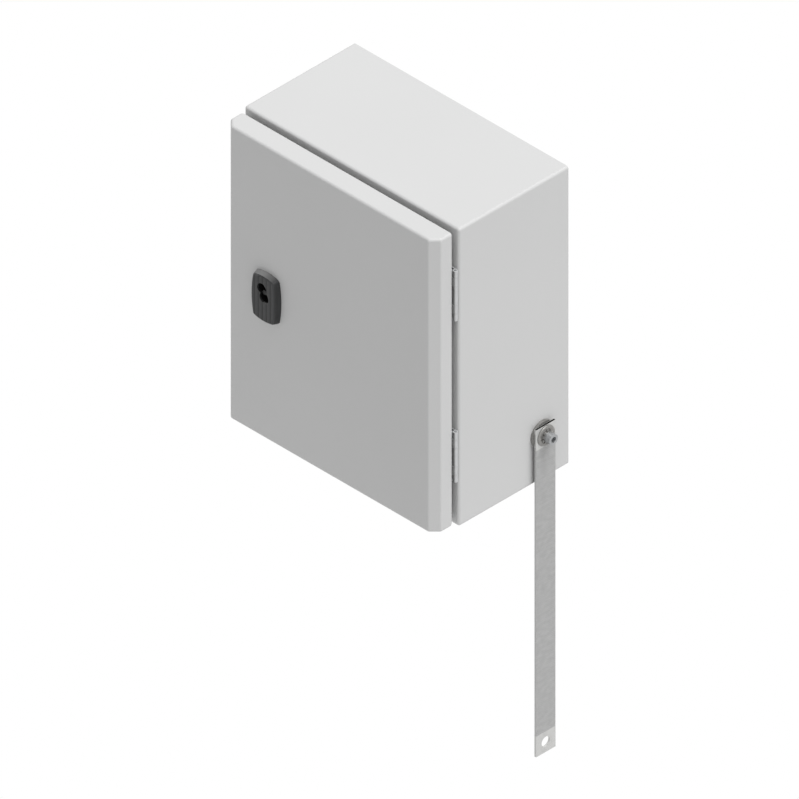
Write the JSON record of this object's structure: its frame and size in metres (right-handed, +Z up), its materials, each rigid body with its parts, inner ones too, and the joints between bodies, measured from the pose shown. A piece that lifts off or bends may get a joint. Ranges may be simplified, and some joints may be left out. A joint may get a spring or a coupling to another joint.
{
  "type": "wall-mounted control cabinet",
  "caption": "Small wall-mounted sheet-steel control cabinet with a hinged door, a quarter-turn lock and a flat earthing strap hanging from its side.",
  "frame": {"origin": "centre of the four wall-fixing holes, on the cabinet's back face", "axes": "+X to the right seen from the front, +Y into the wall, +Z up; the door faces -Y"},
  "size_m": [0.264, 0.1595, 0.572],
  "materials": {
    "paint": "light grey powder coat, satin",
    "galvanised": "galvanised sheet",
    "hinge_steel": "zinc plated",
    "fasteners": "zinc plated",
    "earth_hardware": "plated",
    "tinned_lug": "tinned copper, smooth",
    "tinned_braid": "tinned copper braid",
    "gasket_foam": "cast foam",
    "lock_plastic": "fine grained black moulding",
    "lock_core_metal": "dark die casting"
  },
  "bodies": {
    "cabinet": {"body_wrap": "paint", "back_panel": "paint", "plate_studs": "fasteners", "mounting_plate": "galvanised", "gland_gasket": "gasket_foam", "gland_plate": "galvanised", "body_earth_stud": "fasteners", "upper_body_leaf": "hinge_steel", "lower_body_leaf": "hinge_steel", "upper_hinge_pin": "fasteners", "lower_hinge_pin": "fasteners", "contact_washer": "earth_hardware", "upper_lug": "tinned_lug", "strap_braid": "tinned_braid", "lower_lug": "tinned_lug", "earth_flat_washer": "earth_hardware", "earth_lock_washer": "earth_hardware", "earth_screw": "earth_hardware", "earth_nut": "earth_hardware"},
    "door": {"door_panel": "paint", "door_gasket": "gasket_foam", "upper_door_leaf": "hinge_steel", "lower_door_leaf": "hinge_steel", "door_earth_stud": "fasteners", "lock_escutcheon": "lock_plastic", "lock_housing": "lock_plastic", "lock_nut": "fasteners"},
    "lock_core": {"lock_insert": "lock_core_metal", "lock_cam": "fasteners", "cam_screw": "fasteners"}
  },
  "joints": [
    {"name": "door_hinge", "type": "hinge", "parent": "cabinet", "child": "door", "pos_m": [0.123, -0.1296, 0], "axis": [0, 0, 1], "range_deg": [0, 120]},
    {"name": "lock_turn", "type": "hinge", "parent": "door", "child": "lock_core", "pos_m": [-0.0713, -0.14, 0.0035], "axis": [0, 1, 0], "range_deg": [0, 90]}
  ]
}
